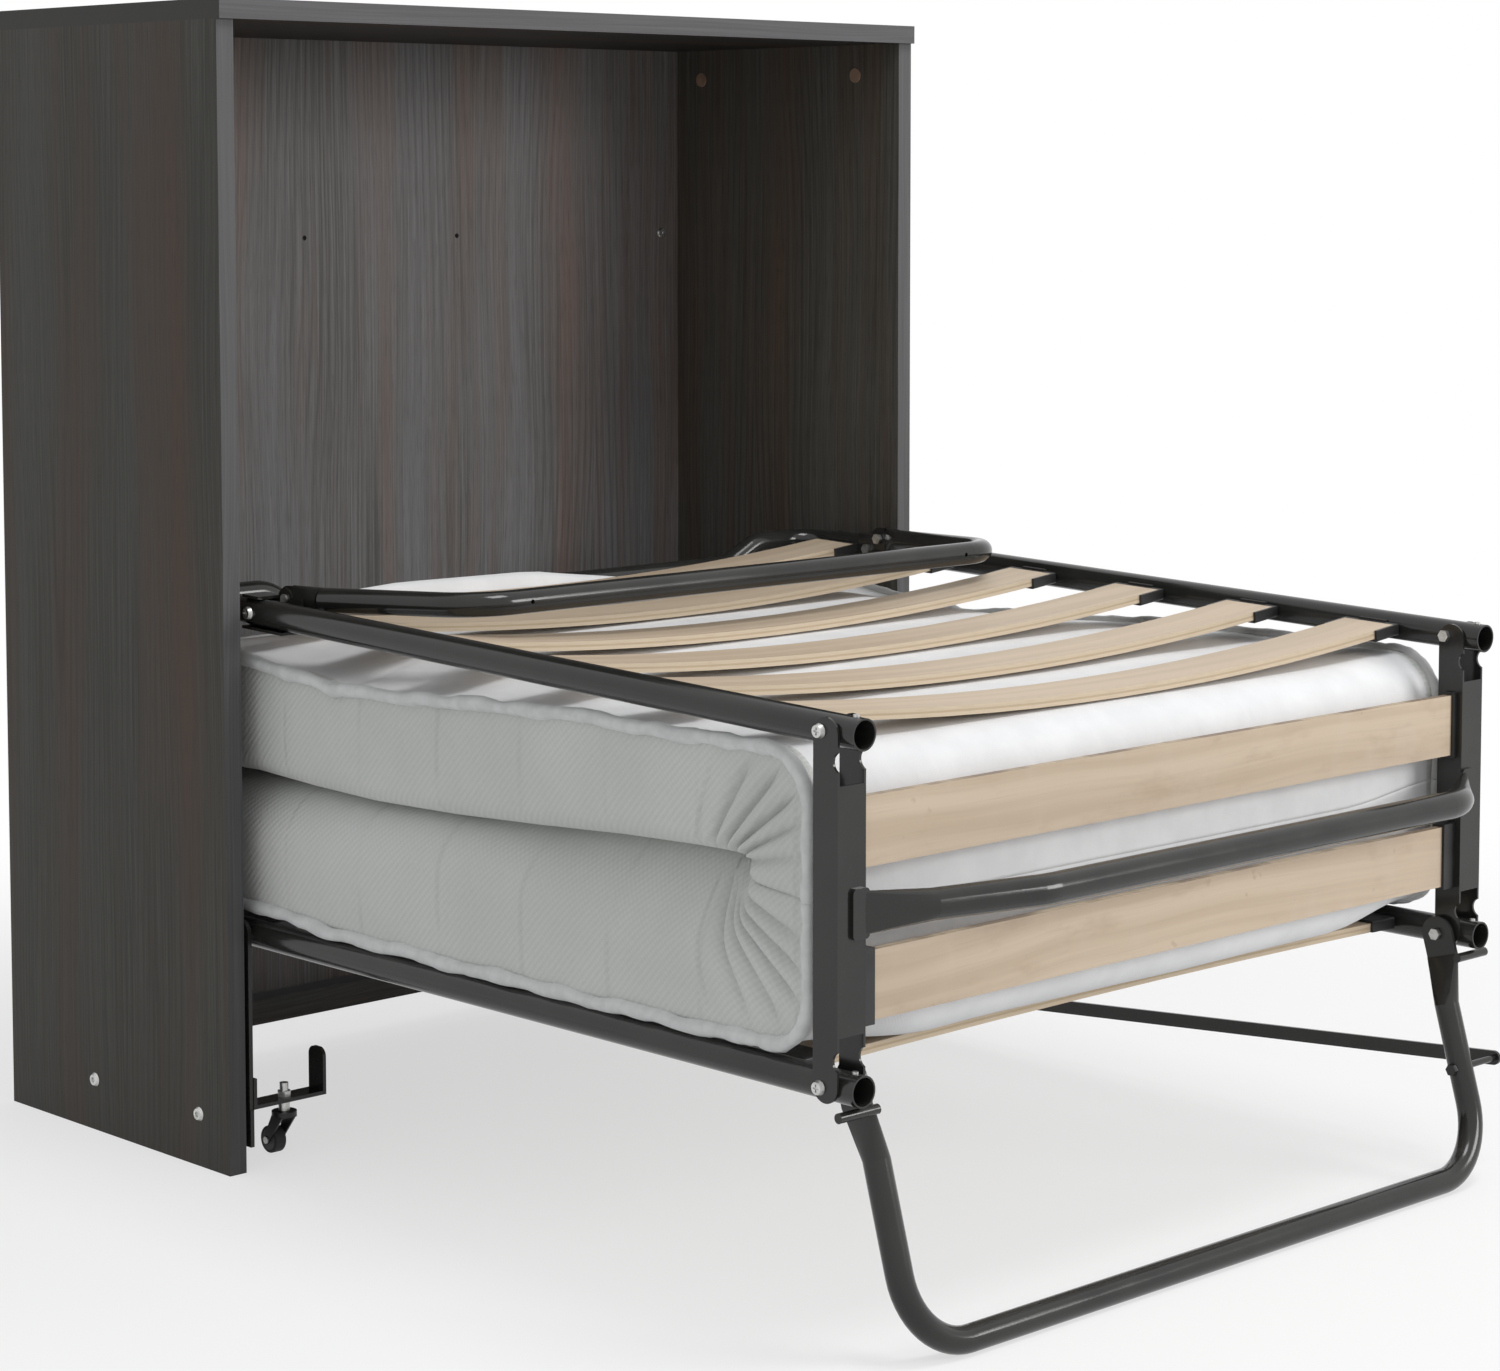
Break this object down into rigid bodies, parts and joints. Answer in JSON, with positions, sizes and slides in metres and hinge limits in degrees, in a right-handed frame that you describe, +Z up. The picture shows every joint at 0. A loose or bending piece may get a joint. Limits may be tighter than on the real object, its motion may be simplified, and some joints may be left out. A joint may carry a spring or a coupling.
{
  "type": "cabinet bed",
  "caption": "Open wooden cabinet with a fold-out single bed: hinged tube frame with sprung slats, folded mattress between its sections, carry handle, front leg and small casters",
  "frame": {"origin": "middle of the base of the whole part at rest, on the floor", "axes": "+X to the right seen from the front, +Y from the bed's front to the cabinet's back, +Z up"},
  "size_m": [0.881, 1.151, 1.05],
  "materials": {
    "laminate": "satin",
    "frame_paint": "gloss",
    "slat_wood": "satin",
    "black_plastic": "matte",
    "brown_plastic": "matte",
    "zinc": "satin",
    "grey_plastic": "matte",
    "tyre_rubber": "matte",
    "mattress_fabric": "matte"
  },
  "bodies": {
    "cabinet": {"side_panel_left": "laminate", "side_panel_right": "laminate", "top_panel": "laminate", "back_panel": "laminate", "base_rail": "laminate", "cam_covers": "brown_plastic", "panel_bolts": "zinc", "back_screws": "zinc", "pivot_bracket_left": "frame_paint", "pivot_bracket_right": "frame_paint", "bracket_spacers": "zinc", "caster_cradle_left": "frame_paint", "caster_cradle_right": "frame_paint", "pivot_bolts": "zinc", "caster_stems": "zinc", "caster_nuts": "zinc", "brace_pivot_pin": "zinc"},
    "caster_fork_left_body": {"caster_fork_left": "zinc", "caster_axle_left": "zinc"},
    "caster_fork_right_body": {"caster_fork_right": "zinc", "caster_axle_right": "zinc"},
    "caster_wheel_left": {"caster_hub_left": "grey_plastic", "caster_tyre_left": "tyre_rubber"},
    "caster_wheel_right": {"caster_hub_right": "grey_plastic", "caster_tyre_right": "tyre_rubber"},
    "lower_section": {"lower_rail_left": "frame_paint", "lower_rail_right": "frame_paint", "lower_cross_tube": "frame_paint", "lower_slats": "slat_wood", "lower_slat_caps": "black_plastic", "lower_hinge_bolts": "zinc", "lower_stub_rivets": "zinc", "mattress_lower": "mattress_fabric"},
    "mid_section": {"mid_post_left": "frame_paint", "mid_post_right": "frame_paint", "mid_slats": "slat_wood", "mid_slat_caps": "black_plastic", "mid_handle": "frame_paint", "mattress_fold": "mattress_fabric"},
    "upper_section": {"upper_rail_left": "frame_paint", "upper_rail_right": "frame_paint", "upper_end_tube": "frame_paint", "upper_slats": "slat_wood", "upper_slat_caps": "black_plastic", "upper_hinge_bolts": "zinc", "upper_stub_rivets": "zinc", "leg_clip_left": "frame_paint", "leg_clip_right": "frame_paint", "leg_clip_bolts": "zinc", "upper_leg_bolts": "zinc", "mattress_upper": "mattress_fabric"},
    "upper_leg": {"upper_leg_tube": "frame_paint"},
    "front_leg": {"front_leg_tube": "frame_paint", "front_leg_stops": "frame_paint", "brace_leg_stud": "zinc"},
    "brace": {"brace_bar": "frame_paint", "brace_bolt": "zinc"}
  },
  "joints": [
    {"name": "bed_lift", "type": "hinge", "parent": "cabinet", "child": "lower_section", "pos_m": [0, 0.22754, 0.213], "axis": [1, 0, 0], "range_deg": [-90, 0]},
    {"name": "front_leg_fold", "type": "hinge", "parent": "lower_section", "child": "front_leg", "pos_m": [0, -0.50646, 0.213], "axis": [1, 0, 0], "range_deg": [0, 87.41]},
    {"name": "brace_swing", "type": "hinge", "parent": "cabinet", "child": "brace", "pos_m": [0.4175, 0.26232, 0.032], "axis": [1, 0, 0], "range_deg": [-80.11, 0]},
    {"name": "mid_unfold", "type": "hinge", "parent": "lower_section", "child": "mid_section", "pos_m": [0, -0.50646, 0.213], "axis": [1, 0, 0], "range_deg": [0, 90]},
    {"name": "upper_unfold", "type": "hinge", "parent": "mid_section", "child": "upper_section", "pos_m": [0, -0.50646, 0.483], "axis": [1, 0, 0], "range_deg": [0, 88.2]},
    {"name": "upper_leg_unfold", "type": "hinge", "parent": "upper_section", "child": "upper_leg", "pos_m": [0, 0.19978, 0.5182], "axis": [-1, 0, 0], "range_deg": [0, 109.5]},
    {"name": "caster_swivel_left", "type": "hinge", "parent": "cabinet", "child": "caster_fork_left_body", "pos_m": [-0.37, 0.22654, 0.044], "axis": [0, 0, 1], "continuous": true},
    {"name": "caster_roll_left", "type": "hinge", "parent": "caster_fork_left_body", "child": "caster_wheel_left", "pos_m": [-0.37, 0.24354, 0.0165], "axis": [1, 0, 0], "continuous": true},
    {"name": "caster_swivel_right", "type": "hinge", "parent": "cabinet", "child": "caster_fork_right_body", "pos_m": [0.37, 0.22654, 0.044], "axis": [0, 0, 1], "continuous": true},
    {"name": "caster_roll_right", "type": "hinge", "parent": "caster_fork_right_body", "child": "caster_wheel_right", "pos_m": [0.37, 0.24354, 0.0165], "axis": [1, 0, 0], "continuous": true}
  ],
  "couplings": [
    {"joint": "front_leg_fold", "follows": "bed_lift", "ratio": -0.97111},
    {"joint": "brace_swing", "follows": "bed_lift", "ratio": 0.89004}
  ]
}
